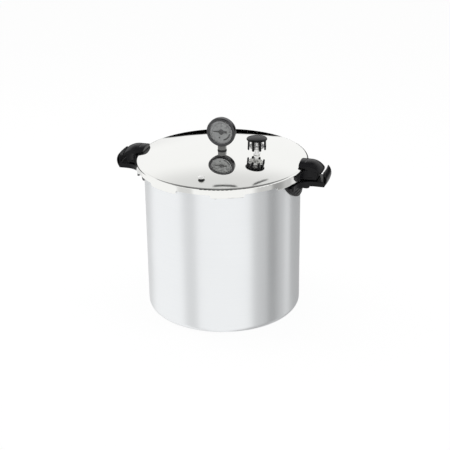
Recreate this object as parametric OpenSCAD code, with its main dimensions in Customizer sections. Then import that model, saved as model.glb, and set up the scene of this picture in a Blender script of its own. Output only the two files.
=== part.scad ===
// Pressure canner: a drawn aluminium pot, a domed bayonet cover with a dial
// gauge and a weight regulator, moulded handles and a perforated rack.
// Millimetres. +Z is up, the handles lie along X, and the dial faces -Y.
// The origin is the centre of the pot's underside.

/* [Pot] */
// Outer diameter of the pot
pot_d = 306; // [290:1:320]
// Height of the pot, from its underside to the top of its rim
pot_h = 300; // [270:1:330]
// Thickness of the drawn wall
pot_wall = 3; // [2.5:0.25:4]
// Thickness of the bottom
floor_t = 5; // [4:0.5:7]
// Outer radius between the wall and the bottom
corner_r = 12; // [10:1:16]

/* [Bayonet rim] */
// Number of lugs on the pot and on the cover
lug_count = 8; // [6:1:8]
// Angle that one lug spans
lug_angle = 21.5; // [18:0.5:21.5]
// Angle from the handle axis to the middle of the first lug
lug_turn = 20; // [16:1:24]
// Width of the plain flange outside the wall
flange_w = 5; // [4:0.5:6]
// Thickness of the plain flange
flange_t = 4.5; // [3.5:0.5:5.5]
// Reach of the pot's lugs outside the wall
lug_w = 10.5; // [9.5:0.5:12]
// Height of the pot's lugs
lug_h = 6.5; // [6:0.5:8]

/* [Cover] */
// Thickness of the cover
cover_t = 3; // [2.5:0.25:3.5]
// Radius of the domed outer face
dome_r = 980; // [900:10:1100]
// Outer radius of the rolled edge
edge_r = 4; // [4:0.5:6]
// Height of the plain skirt's lower edge below the rim's top
skirt_drop = 3; // [1:0.5:5]
// Thickness of the cover's lugs
leg_t = 3.5; // [3:0.5:5]
// Outer radius of the bend below each lug
leg_bend = 3; // [2:0.5:3]
// Height of the sealing ring at its outer edge
seal_t = 6; // [5:0.5:8]
// Height of the groove in the sealing ring
seal_groove = 1.6; // [1:0.2:2]

/* [Handles] */
// Width of the cover handle at its inner end
grip_w_in = 48; // [42:1:54]
// Width of the cover handle at its outer end
grip_w_out = 41; // [36:1:44]
// Reach of the cover handle outside the skirt
grip_reach = 34; // [30:1:40]
// Length of the cover handle's end that lies over the cover
grip_lap = 11; // [9:0.5:13]
// Height of the cover handle's top above the rim
grip_rise = 19.5; // [18.5:0.5:23]
// Height lost by the arched top at the outer end
grip_fall = 13.5; // [11:0.5:15]
// Radius of the crown across the top
crown_r = 48; // [44:1:60]
// Inset of the lower body under the top slab
grip_inset = 3; // [2:0.5:4]
// Width of the body handle's tray
tray_w = 44; // [40:1:48]
// Thickness of the tray
tray_t = 10; // [9:0.5:13]
// Depth of the tray's top below the rim
tray_drop = 15; // [14:0.5:18]
// Gap between the tray and the cover handle above it
tray_gap = 1; // [0.8:0.1:2]
// Width of the slit between the cover handle's end and the lip
slit_w = 4.5; // [3.5:0.5:6]
// Radius of the lip's bulging outer face
lip_r = 22; // [20:1:26]
// Thickness of the lip at its widest
lip_t = 7.5; // [6.5:0.5:9]
// Height of the lip above the tray
lip_h = 20; // [16:1:22]
// Width of the wing plate that hugs the pot
wing_w = 120; // [100:1:130]
// Height of the wing plate
wing_h = 37; // [32:1:42]
// Thickness of the wing plate
wing_t = 5; // [4:0.5:7]
// Radius of the hollow curve from the tray out to the wing
flare_r = 34; // [26:1:36]
// Diameter of the screw boss under the tray
boss_d = 14; // [13:0.5:17]
// Height of the screw boss under the tray
boss_h = 12; // [10:0.5:16]
// Wall left round each moulded pocket
mould_wall = 2.4; // [2:0.2:3]

/* [Handle brackets] */
// Thickness of the steel brackets
strap_t = 1.5; // [1:0.25:2]
// Width of the tongue that enters a handle
tongue_w = 14; // [12:1:18]
// Length of the tongue outside the metal it is welded to
tongue_l = 18; // [16:0.5:22]
// Diameter of the handle screws
screw_d = 4.8; // [4:0.2:6]
// Diameter of the screw heads
screw_head_d = 8.5; // [8:0.5:10]

/* [Rack] */
// Diameter of the rack
rack_d = 280; // [250:1:282]
// Height of the rack
rack_h = 13; // [10:0.5:20]
// Thickness of the rack
rack_t = 1.5; // [1:0.25:2.5]
// Diameter of the holes in the rack
rack_hole_d = 15; // [10:1:18]
// Distance from each ring of holes to the next
rack_pitch = 31; // [30:0.5:32]
// Number of rings of holes
rack_rings = 4; // [2:1:4]

/* [Vent pipe and regulator] */
// Distance from the cover's centre to the vent pipe
vent_x = 70; // [60:1:90]
// Outer diameter of the vent pipe
vent_d = 8.5; // [7.5:0.5:10]
// Bore of the vent pipe
vent_bore = 3; // [2:0.5:4]
// Height of the vent pipe above the cover
vent_h = 24; // [22:0.5:28]
// Width across flats of the nut under the cover
vent_nut_w = 16; // [15:0.5:19]
// Height from the cover to the regulator's legs
regulator_lift = 14; // [10:0.5:15]
// Diameter of the regulator's cap
cap_d = 40; // [36:1:44]
// Thickness of the cap's edge
cap_t = 4.5; // [3.5:0.5:6]
// Height that the cap's top swells
cap_swell = 1.5; // [0.5:0.5:3]
// Length of the cap's legs
cap_leg_l = 15.5; // [13:0.5:18]
// Number of legs
cap_legs = 8; // [6:1:10]
// Width of each leg
cap_leg_w = 2.6; // [2:0.2:3.2]
// Outward lean of the legs over their length
cap_splay = 2.2; // [0.6:0.2:2.4]
// Diameter of the weight
weight_d = 24; // [20:1:25]

/* [Air vent and lock] */
// Distance from the cover's centre to the air vent
air_y = 134; // [130:1:135]
// Diameter of the air vent's button
air_head_d = 13; // [12:0.5:14]
// Height of the button
air_head_h = 3.5; // [2.5:0.5:5]
// Diameter of the pin's stem
air_stem_d = 4; // [3:0.5:5]
// Diameter of the pin's lower barrel
air_barrel_d = 6.4; // [6:0.2:7]
// Diameter of the locking collar
air_collar_d = 12; // [11:0.5:13]
// Height of the locking collar
air_collar_h = 4; // [3:0.5:5]
// Travel of the pin
air_travel = 4.5; // [4:0.25:5]
// Thickness of the grommet's flanges
grommet_t = 1.2; // [1:0.1:1.6]
// Angle of the lock bracket round the pot
lock_turn = -78; // [-79:0.5:-77]
// Depth of the lock bracket's ledge below the rim
lock_drop = 0.6; // [0.4:0.1:1.5]
// Thickness of the lock bracket
lock_t = 2; // [1.5:0.25:2.5]
// Depth of the lock bracket's screw below the rim
lock_screw_drop = 13; // [12:0.5:16]
// Diameter of the lock bracket's screw
lock_screw_d = 4; // [3:0.5:5]

/* [Overpressure plug] */
// Distance behind the cover's centre to the plug
plug_y = 76; // [70:1:90]
// Distance to the left of the cover's centre to the plug
plug_x = 23; // [15:1:30]
// Diameter of the plug's head
plug_head_d = 19; // [17:0.5:22]
// Diameter of the plug's neck
plug_neck_d = 12; // [10:0.5:14]

/* [Gauge] */
// Diameter of the gauge over its bezel
gauge_d = 57; // [54:0.5:64]
// Height from the cover to the dial's centre
gauge_rise = 39; // [38:0.5:46]
// Depth of the case
case_depth = 12.5; // [12.5:0.5:16]
// Wall of the case
case_wall = 1.2; // [1:0.1:1.6]
// Width of the bezel's front face
bezel_w = 5.5; // [4:0.5:7]
// Height of the bezel in front of the case
bezel_h = 3; // [2.6:0.2:4]
// Thickness of the lens
lens_t = 1.5; // [1:0.25:2]
// Thickness of the dial
dial_t = 0.6; // [0.5:0.1:1]
// Width across flats of the stem's hexagon
stem_w = 15; // [14:0.5:18]
// Diameter of the threaded shank through the cover
shank_d = 12; // [10:0.5:13]
// Width across flats of the nut under the cover
gauge_nut_w = 22; // [20:1:26]
// Height of both nuts under the cover
nut_h = 5; // [4:0.5:7]
// Thickness of the gauge's gasket
gasket_t = 1.5; // [1:0.25:2]

/* [Gauge movement] */
// Module of the gear teeth
tooth_m = 0.4; // [0.38:0.01:0.42]
// Teeth on the pinion
pinion_teeth = 9; // [9:1:9]
// Teeth on the full circle that the sector is cut from
sector_teeth = 72; // [72:1:72]
// Swing of the sector from zero to full scale
sector_swing = 28; // [20:1:28]
// Thickness of the gears
gear_t = 1.2; // [0.8:0.1:1.4]
// Thickness of the movement's plates
plate_t = 0.8; // [0.6:0.1:1]
// Free space between a gear and a plate
plate_gap = 0.7; // [0.4:0.1:0.8]
// Radius of the sector's arbor
arbor_r = 0.8; // [0.6:0.1:1]
// Length of the sector's tail
tail_l = 7; // [6:0.25:7]
// Radius of the tube's centre line
tube_r = 21.5; // [21.3:0.1:21.8]
// Thickness of the flattened tube
tube_t = 2.4; // [2:0.1:2.6]
// Width of the flattened tube
tube_w = 6; // [5:0.25:6]
// Thickness of the link
link_t = 0.8; // [0.6:0.1:1]

/* [Fits] */
// Gap between pieces that are fixed to each other
seat_gap = 0.15; // [0.1:0.05:0.25]
// Radial clearance of a shaft in its bore
run_gap = 0.06; // [0.04:0.01:0.08]
// Gap between pieces that move past each other
slide_gap = 0.3; // [0.25:0.05:0.4]
// Gap between the lugs of the pot and those of the cover
lug_gap = 0.4; // [0.3:0.1:0.8]
// Radial room between the lugs and the skirt
lug_room = 1.5; // [1:0.25:2]

/* [Hidden] */

$fn = 96;
// Segments for the large, nearly flat dome
dome_fn = 1440;
// A small overlap that lets cuts run past a face
over = 1;

// Pot
pot_r = pot_d / 2;
pot_ri = pot_r - pot_wall;
flange_r = pot_r + flange_w;
lug_r = pot_r + lug_w;
lug_pitch = 360 / lug_count;

// Cover
skirt_ri = lug_r + lug_room;
skirt_r = skirt_ri + cover_t;
skirt_z = pot_h - skirt_drop;
leg_ri = flange_r + lug_room;
leg_top = pot_h - lug_h - lug_gap;
leg_z = leg_top - leg_t;
seal_r = skirt_ri - slide_gap;
seal_z = pot_h + slide_gap;
dome_cz = seal_z + seal_t + seat_gap - sqrt(pow(dome_r - cover_t, 2) - pow(seal_r, 2));
edge_cr = skirt_r - edge_r;
edge_cz = dome_cz + sqrt(pow(dome_r - edge_r, 2) - pow(edge_cr, 2));
function dome_z(r) = dome_cz + sqrt(pow(dome_r, 2) - pow(r, 2));
function under_z(r) = dome_cz + sqrt(pow(dome_r - cover_t, 2) - pow(r, 2));

// Handles
grip_top = pot_h + grip_rise;
grip_in = skirt_r - grip_lap;
grip_out = skirt_r + grip_reach;
tray_top = pot_h - tray_drop;
tray_z = tray_top - tray_t;
grip_z = tray_top + tray_gap;
slab_z = grip_top - 11.5;
arch_x = grip_out - 27;
arch_r = (pow(grip_out - arch_x, 2) + pow(grip_fall, 2)) / (2 * grip_fall);
lip_in = grip_out + slit_w;
lip_cx = lip_in + lip_t - lip_r;
lip_cz = tray_top + 5;
wing_r = pot_r + seat_gap + wing_t;
wing_edge = 3;
wing_arc = (pow(wing_w / 2, 2) + pow(wing_h - wing_edge, 2)) / (2 * (wing_h - wing_edge));

// Handle brackets
tongue_hole_l = tongue_l - 6;
body_screw_x = pot_r + tongue_hole_l + 6;
cover_screw_x = skirt_r + tongue_hole_l;
body_tongue_z = tray_z + 2;
cover_tongue_z = pot_h;
strap_half = 8;
head_t = 2.6;

// Rack
rack_z = floor_t + slide_gap;

// Vent pipe and regulator
vent_z = dome_z(vent_x);
vent_r = vent_d / 2;
vent_base_r = vent_r + 2.5;
vent_base_h = 2.5;
leg_end_z = vent_z + regulator_lift;
cap_z = leg_end_z + cap_leg_l;
cap_r = cap_d / 2;
weight_r = weight_d / 2;
leg_out = weight_r + slide_gap + 3.5;

// Air vent and lock
air_stem_r = air_stem_d / 2;
air_barrel_r = air_barrel_d / 2;
air_collar_r = air_collar_d / 2;
air_bore_r = air_stem_r + run_gap;
air_neck_r = air_bore_r + 2;
grommet_r = air_neck_r + 1.5;
grommet_top = dome_z(air_y - grommet_r) + seat_gap + grommet_t;
grommet_low = under_z(air_y + grommet_r) - seat_gap - grommet_t;
air_head_z = grommet_top + slide_gap;
air_barrel_top = grommet_low - air_travel - slide_gap;
lock_ledge_top = pot_h - lock_drop;
lock_ledge_z = lock_ledge_top - lock_t;
air_collar_top = lock_ledge_z - air_travel / 2 - 0.2;
air_collar_z = air_collar_top - air_collar_h;
lock_ledge_r = air_y + air_barrel_r + slide_gap + 0.1;
lock_half = 6;
lock_z = pot_h - lock_screw_drop - 6;
lock_screw_z = pot_h - lock_screw_drop;
lock_screw_r = lock_screw_d / 2;

// Gauge, in its own frame: X right, Y up, Z out of the dial towards -Y
gauge_z = dome_z(0) + gauge_rise;
bezel_r = gauge_d / 2;
case_r = bezel_r - 1;
case_ri = case_r - case_wall;
case_back = -case_depth / 2;
case_front = case_back + case_depth;
lens_z = case_front + seat_gap;
bezel_front = case_front + bezel_h;
bezel_skirt_z = lens_z - 4;
neck_z = (case_back + bezel_skirt_z) / 2;
neck_r = (bezel_skirt_z - case_back) / 2 - 0.6;
bezel_ri = bezel_r - bezel_w;
gear_z = -gear_t / 2;
gear_front = gear_z + gear_t;
front_plate_z = gear_front + plate_gap;
back_plate_z = gear_z - plate_gap - plate_t;
dial_z = front_plate_z + plate_t + 0.9;
pointer_z = dial_z + dial_t + 0.9;
pointer_t = 0.5;
tube_z = case_back + case_wall + 0.8 + tube_w / 2;
link_z = gear_z - slide_gap - link_t;
lug_plate_z = link_z - slide_gap - link_t;

// Gauge movement
pressure_angle = 20;
backlash = 0.05;
pinion_r = tooth_m * pinion_teeth / 2;
sector_r = tooth_m * sector_teeth / 2;
pivot_turn = -50;
pivot_l = pinion_r + sector_r + 0.02;
pivot = [pivot_l * cos(pivot_turn), pivot_l * sin(pivot_turn)];
tail_turn = -60;
tail_pin = pivot + tail_l * [cos(tail_turn), sin(tail_turn)];
tip_turn = -20;
tip_pin = (tube_r - 0.4) * [cos(tip_turn), sin(tip_turn)];
tube_end = tip_turn + 14;
link_pin_r = 0.6;
eye_r = 1.5;
foot = [-2, -17];
pillar_top = [-3.6, 4.4];
pillar_r = 1.2;
plate_boss_r = 2.6;
plate_arm_r = 2;
block_half = 5.5;
tube_start = 270 - asin((block_half + seat_gap) / (tube_r - tube_t / 2));

// ---------------------------------------------------------------- helpers

function unit(v) = v / norm(v);

// Points of the arc of radius r that rounds the corner b between a and c
function corner_arc(a, b, c, r, steps = 6) =
    let (u = unit(a - b))
    let (v = unit(c - b))
    let (half = acos(u * v) / 2)
    let (centre = b + unit(u + v) * r / sin(half))
    let (p = b + u * r / tan(half) - centre)
    let (q = b + v * r / tan(half) - centre)
    let (start = atan2(p[1], p[0]))
    let (turn = atan2(p[0] * q[1] - p[1] * q[0], p * q))
    [for (i = [0 : steps]) centre + r * [cos(start + turn * i / steps), sin(start + turn * i / steps)]];

// A closed outline with a radius at each corner; 0 leaves the corner sharp
function rounded(pts, radii) =
    let (n = len(pts))
    [for (i = [0 : n - 1])
        each (radii[i] > 0
            ? corner_arc(pts[(i + n - 1) % n], pts[i], pts[(i + 1) % n], radii[i])
            : [pts[i]])];

// A bar with round ends between two points
module bar2d(p, q, r) {
    translate(p) circle(r = r);
    translate(q) circle(r = r);
    strut2d(p, q, r);
}

// A straight strip between two points, without round ends
module strut2d(p, q, r) {
    translate(p)
        rotate(atan2(q[1] - p[1], q[0] - p[0]))
            translate([0, -r])
                square([norm(q - p), 2 * r]);
}

// The sector between two angles, less than 180 degrees apart
module pie2d(from, to, r) {
    reach = r / cos((to - from) / 2);
    mid = (from + to) / 2;
    polygon([[0, 0], reach * [cos(from), sin(from)], reach * 1.2 * [cos(mid), sin(mid)],
        reach * [cos(to), sin(to)]]);
}

// Half of a solid of revolution's section, with a round lower corner
module cup2d(r, z, top, bend) {
    translate([0, z]) square([r - bend, top - z]);
    translate([0, z + bend]) square([r, top - z - bend]);
    translate([r - bend, z + bend]) circle(r = bend);
}

// Puts a shape into the left handle's place
module left_side() {
    rotate([0, 0, 180]) children();
}

// Extrudes an outline drawn in Y and Z along X
module along_x(from, to) {
    translate([from, 0, 0]) rotate([90, 0, 90]) linear_extrude(to - from) children();
}

// Extrudes an outline drawn in X and Z across Y
module across_y(w) {
    translate([0, w / 2, 0]) rotate([90, 0, 0]) linear_extrude(w) children();
}

// Puts a shape drawn in the dial's plane into its place
module in_gauge() {
    translate([0, 0, gauge_z]) rotate([90, 0, 0]) children();
}

// A hexagonal prism across flats w
module hexagon(w, h) {
    cylinder(r = w / sqrt(3), h = h, $fn = 6);
}

// ---------------------------------------------------------------- pot

module canner_body() {
    color("silver") {
        difference() {
            rotate_extrude($fn = 180) {
                difference() {
                    cup2d(pot_r, 0, pot_h, corner_r);
                    cup2d(pot_ri, floor_t, pot_h + over, corner_r - pot_wall);
                }
                translate([pot_r - over, pot_h - flange_t]) square([flange_w + over, flange_t]);
            }
            // Hole for the lock bracket's screw
            rotate([0, 0, lock_turn])
                translate([pot_ri - over, 0, lock_screw_z])
                    rotate([0, 90, 0]) cylinder(r = lock_screw_r + seat_gap, h = pot_wall + 2 * over);
        }
        pot_lugs();
    }
}

// The pot's lugs: blocks with rounded ends that stand out of the flange
module pot_lugs() {
    half = lug_angle / 2;
    for (i = [0 : lug_count - 1])
        rotate([0, 0, lug_turn + i * lug_pitch - half])
            rotate_extrude(angle = lug_angle, $fn = 180)
                translate([pot_r - over, pot_h - lug_h])
                    polygon([[0, 0], [lug_w, 0], [lug_w + over - 0.5, 0.5],
                        [lug_w + over, lug_h - 1.5], [lug_w + over - 1.5, lug_h], [0, lug_h]]);
}

// ---------------------------------------------------------------- body handles

// The steel strap welded to a curved wall of radius r, with a tongue for the handle
module strap(r, z, low, high, grow = 0) {
    inner = r + seat_gap - grow;
    rotate([0, 0, -strap_half - grow / 3])
        rotate_extrude(angle = 2 * strap_half + grow / 1.5, $fn = 180)
            translate([inner, low - grow]) square([strap_t + 2 * grow, high - low + 2 * grow]);
    translate([inner + strap_t / 2, -tongue_w / 2 - grow, z - grow])
        cube([tongue_l + grow, tongue_w + 2 * grow, strap_t + 2 * grow]);
}

module body_bracket() {
    color("gainsboro")
        difference() {
            strap(pot_r, body_tongue_z, body_tongue_z - 16, body_tongue_z + 6);
            translate([body_screw_x - 3, 0, body_tongue_z - over]) cylinder(d = screw_d + 2 * seat_gap, h = 4);
        }
}

// The wing's outline in Y and Z, shrunk by an inset
module wing2d(inset = 0) {
    intersection() {
        translate([0, tray_top - wing_h + wing_arc]) circle(r = wing_arc - inset, $fn = 180);
        translate([-wing_w / 2 + inset, tray_top - wing_h])
            square([wing_w - 2 * inset, wing_h - inset]);
    }
}

// Tray plan: straight sides that flare out to the wing in hollow curves
module tray2d() {
    side = tray_w / 2;
    flare_x = wing_r + flare_r - 1;
    intersection() {
        translate([pot_r, -wing_w / 2 + 1]) square([lip_in - pot_r + 2, wing_w - 2]);
        union() {
            translate([pot_r, -side]) square([lip_in + 2 - pot_r, tray_w]);
            for (s = [-1, 1])
                difference() {
                    translate([pot_r, s * (side + flare_r / 2 - 0.5)])
                        translate([0, -flare_r / 2 - 0.5]) square([flare_x - pot_r, flare_r + 1]);
                    translate([flare_x, s * (side + flare_r)]) circle(r = flare_r, $fn = 120);
                }
        }
    }
}

// The lip's section in X and Z: a circle's segment that stands at the tray's end
module lip2d(inset = 0) {
    intersection() {
        translate([lip_cx, lip_cz]) circle(r = lip_r - inset, $fn = 120);
        translate([lip_in + inset, tray_z + inset]) square([lip_t + 1, tray_t + lip_h - 2 * inset]);
    }
}

module body_handle() {
    screw_x = body_screw_x - 3;
    rib_step = 6;
    color([0.05, 0.05, 0.055])
        difference() {
            union() {
                // Wing plate with its three moulded ribs
                intersection() {
                    translate([0, 0, tray_top - wing_h]) cylinder(r = wing_r, h = wing_h, $fn = 180);
                    along_x(pot_r * 0.8, wing_r + over) wing2d();
                }
                intersection() {
                    rotate_extrude($fn = 180)
                        for (i = [1 : 3])
                            translate([wing_r - 0.2, tray_z - i * rib_step]) circle(r = 1, $fn = 24);
                    along_x(pot_r * 0.8, wing_r + 2 * over) wing2d(4);
                }
                // Tray
                translate([0, 0, tray_z]) linear_extrude(tray_t) tray2d();
                // Screw boss, with a cone that runs into the tray
                translate([screw_x, 0, tray_z - boss_h]) cylinder(d = boss_d, h = boss_h + over);
                translate([screw_x, 0, tray_z - 4]) cylinder(d1 = boss_d, d2 = boss_d + 8, h = 4 + over);
                // Gusset from the boss back to the wing
                across_y(boss_d - 4)
                    polygon([[pot_r, tray_z + over], [screw_x, tray_z + over],
                        [screw_x, tray_z - boss_h + 2], [pot_r, tray_z - boss_h - 6]]);
                // Lip
                intersection() {
                    rotate([0, 0, -10]) rotate_extrude(angle = 20, $fn = 360) lip2d();
                    translate([0, -tray_w / 2, 0]) cube([2 * lip_in, tray_w, pot_h + grip_rise]);
                }
            }
            // The pot's wall
            translate([0, 0, tray_top - wing_h - over])
                cylinder(r = pot_r + seat_gap, h = wing_h + 2 * over, $fn = 180);
            // Pocket for the bracket
            strap(pot_r, body_tongue_z, body_tongue_z - 16, body_tongue_z + 6, seat_gap);
            // Screw hole and counterbore
            translate([screw_x, 0, tray_z - boss_h - over]) {
                cylinder(d = screw_d + 2 * seat_gap, h = boss_h + 8);
                cylinder(d = screw_head_d + 2 * seat_gap, h = head_t + over);
            }
            // Hollows moulded into the tray's underside, one each side of the tongue
            for (s = [-1, 1])
                translate([0, 0, tray_z - over])
                    linear_extrude(tray_t - mould_wall + over)
                        polygon(rounded(tray_pocket(s), [2, 2, 2, 2]));
            // Hollows in the two ends of the lip
            for (s = [-1, 1])
                intersection() {
                    rotate([0, 0, -10]) rotate_extrude(angle = 20, $fn = 360) lip2d(mould_wall);
                    translate([0, s * (tray_w / 2) - tray_w / 4, tray_z])
                        cube([2 * lip_in, tray_w / 2, tray_t + lip_h]);
                }
        }
}

// Plan of one moulded hollow in the tray, on side s
function tray_pocket(s) =
    let (near = tongue_w / 2 + mould_wall)
    let (far = tray_w / 2 - mould_wall)
    [[wing_r + mould_wall, s * near], [lip_in - mould_wall, s * near],
        [lip_in - mould_wall, s * far], [wing_r + mould_wall, s * far]];

module body_handle_left() {
    left_side() body_handle();
}

module body_handle_right() {
    body_handle();
}

module body_bracket_left() {
    left_side() body_bracket();
}

module body_bracket_right() {
    body_bracket();
}

// A pan-head screw that points up, its head's underside at z = 0
module screw_up(d, head_d, l) {
    cylinder(d = d, h = l);
    translate([0, 0, -head_t + seat_gap])
        difference() {
            cylinder(d = head_d, h = head_t);
            for (a = [0, 90])
                rotate([0, 0, a])
                    translate([-head_d * 0.3, -0.5, -over]) cube([head_d * 0.6, 1, over + 1.2]);
        }
}

module body_handle_screws() {
    head_z = tray_z - boss_h + head_t;
    color("lightgray")
        for (a = [0, 180])
            rotate([0, 0, a])
                translate([body_screw_x - 3, 0, head_z - seat_gap])
                    screw_up(screw_d, screw_head_d, body_tongue_z + strap_t + 2 - head_z);
}

// ---------------------------------------------------------------- lock bracket

// A bracket inside the pot whose ledge stops the raised air vent pin
module lock_bracket() {
    color("gainsboro")
        rotate([0, 0, lock_turn])
            difference() {
                rotate([0, 0, -lock_half])
                    rotate_extrude(angle = 2 * lock_half, $fn = 180) {
                        translate([pot_ri - seat_gap - lock_t, lock_z])
                            square([lock_t, lock_ledge_top - lock_z]);
                        translate([lock_ledge_r, lock_ledge_z])
                            square([pot_ri - seat_gap - lock_ledge_r - lock_t / 2, lock_t]);
                    }
                translate([pot_ri - 10, 0, lock_screw_z])
                    rotate([0, 90, 0]) cylinder(r = lock_screw_r + seat_gap, h = 12);
            }
}

module lock_bracket_screw() {
    head_h = 1.8;
    inside = lock_t + 2 * seat_gap + 4;
    color("dimgray")
        rotate([0, 0, lock_turn])
            translate([0, 0, lock_screw_z])
                rotate([0, 90, 0]) {
                    translate([0, 0, pot_ri - inside])
                        cylinder(r = lock_screw_r, h = pot_wall + inside + seat_gap + over / 2);
                    translate([0, 0, pot_r + seat_gap])
                        cylinder(r1 = lock_screw_r * 1.9, r2 = lock_screw_r * 1.4, h = head_h);
                }
}

module lock_bracket_nut() {
    nut_l = 3;
    color("lightgray")
        rotate([0, 0, lock_turn])
            translate([pot_ri - lock_t - 3 * seat_gap - nut_l, 0, lock_screw_z])
                rotate([0, 90, 0])
                    difference() {
                        hexagon(2 * lock_screw_d - 1, nut_l);
                        translate([0, 0, -over]) cylinder(r = lock_screw_r + run_gap, h = nut_l + 2 * over);
                    }
}

// ---------------------------------------------------------------- rack

// A perforated plate with a turned-down rim that carries the jars
module canning_rack() {
    r = rack_d / 2;
    color("silver")
        translate([0, 0, rack_z]) {
            rotate_extrude($fn = 180)
                translate([r - rack_t, 0]) square([rack_t, rack_h]);
            translate([0, 0, rack_h - rack_t])
                linear_extrude(rack_t)
                    difference() {
                        circle(r = r, $fn = 180);
                        circle(d = rack_hole_d);
                        for (ring = [1 : rack_rings])
                            for (i = [0 : 6 * ring - 1])
                                rotate(i * 60 / ring + 15 * (ring % 2))
                                    translate([ring * rack_pitch, 0]) circle(d = rack_hole_d, $fn = 32);
                    }
        }
}

// ---------------------------------------------------------------- cover

// The cover's outline of revolution: dome, rolled edge and skirt, less a depth
// of metal. A negative depth gives the room that other pieces leave round it.
module dome2d(depth, low) {
    r = dome_r - depth;
    tangent = edge_cr * r / (dome_r - edge_r);
    intersection() {
        translate([0, dome_cz]) circle(r = r, $fn = dome_fn);
        translate([0, low]) square([tangent, dome_cz + dome_r - low - depth + over]);
    }
    translate([edge_cr, edge_cz]) circle(r = edge_r - depth);
    translate([0, low]) square([skirt_r - depth, edge_cz - low]);
}

module cover() {
    color("whitesmoke")
        difference() {
            rotate_extrude($fn = 360) {
                difference() {
                    dome2d(0, leg_z + leg_bend);
                    dome2d(cover_t, leg_z - over);
                }
                // Inward leg, with a round bend below it
                intersection() {
                    translate([leg_ri, leg_z]) square([skirt_r - leg_ri, leg_t]);
                    cup2d(skirt_r, leg_z, leg_top + leg_bend, leg_bend);
                }
            }
            cover_windows();
            translate([vent_x, 0, 0]) cylinder(r = vent_r + seat_gap, h = 2 * pot_h);
            cylinder(d = shank_d + 2 * seat_gap, h = 2 * pot_h);
            translate([0, -air_y, 0]) cylinder(r = air_neck_r + seat_gap, h = 2 * pot_h);
            translate([-plug_x, plug_y, 0]) cylinder(d = plug_neck_d + 2 * seat_gap, h = 2 * pot_h);
        }
}

// The gaps between the cover's lugs, with round corners as they are stamped
module cover_windows() {
    half = skirt_r * sin((lug_pitch - lug_angle) / 2);
    outline = rounded([[-half - 3, leg_z - over], [half + 3, leg_z - over], [half, leg_z + 3],
        [half, skirt_z], [-half, skirt_z], [-half, leg_z + 3]], [0, 0, 3, 2.5, 2.5, 3]);
    for (i = [0 : lug_count - 1])
        rotate([0, 0, lug_turn + (i + 0.5) * lug_pitch])
            along_x(pot_r + over, skirt_r + 2 * over) polygon(outline);
}

// The rubber ring between the pot's rim and the cover, with a groove on its inner side
module sealing_ring() {
    inner = pot_ri + 0.5;
    color([0.12, 0.12, 0.12])
        rotate_extrude($fn = 360)
            difference() {
                intersection() {
                    translate([inner, seal_z]) square([seal_r - inner, 2 * seal_t]);
                    translate([0, dome_cz])
                        circle(r = dome_r - cover_t - seat_gap, $fn = dome_fn);
                }
                // Room for the cover's inner radius
                translate([seal_r, seal_z + seal_t - 1.4]) polygon([[over, 0], [0, 0], [-1.6, 2], [over, 2]]);
                translate([inner - over, seal_z + (seal_t + 2 - seal_groove) / 2]) square([7 + over, seal_groove]);
                translate([inner + 7, seal_z + (seal_t + 2) / 2]) circle(d = seal_groove, $fn = 24);
            }
}

// ---------------------------------------------------------------- cover handles

module cover_bracket() {
    color("gainsboro")
        difference() {
            strap(skirt_r, cover_tongue_z, skirt_z + 0.5, edge_cz - 0.5);
            translate([cover_screw_x, 0, cover_tongue_z - over]) cylinder(d = screw_d + 2 * seat_gap, h = 4);
        }
}

// Half width of the cover handle at a place along X
function grip_half(x) =
    (grip_w_in + (grip_w_out - grip_w_in) * (x - grip_in) / (grip_out - grip_in)) / 2;

// Plan of the cover handle's slab, or of its lower body when inset
function grip_plan(inset, out, bend) =
    rounded([[grip_in, -grip_half(grip_in) + inset], [out, -grip_half(out) + inset],
        [out, grip_half(out) - inset], [grip_in, grip_half(grip_in) - inset]], [bend, bend, bend, bend]);

// Crown across the handle's top, as height over distance from the arch's centre
module crown2d() {
    w = grip_w_in / 2 + over;
    intersection() {
        translate([0, arch_r - crown_r]) circle(r = crown_r, $fn = 180);
        translate([-w, 0]) square([2 * w, arch_r + over]);
    }
}

// The arched and crowned top: straight near the cover, then bent down
module grip_top_form() {
    translate([arch_x, 0, grip_top - arch_r]) {
        rotate([90, 0, -90]) linear_extrude(arch_x - grip_in + over) crown2d();
        intersection() {
            rotate([90, 0, 0]) rotate_extrude($fn = 180) rotate(-90) crown2d();
            translate([0, -grip_w_in, 0]) cube([arch_r + over, 2 * grip_w_in, arch_r + over]);
        }
    }
}

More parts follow.
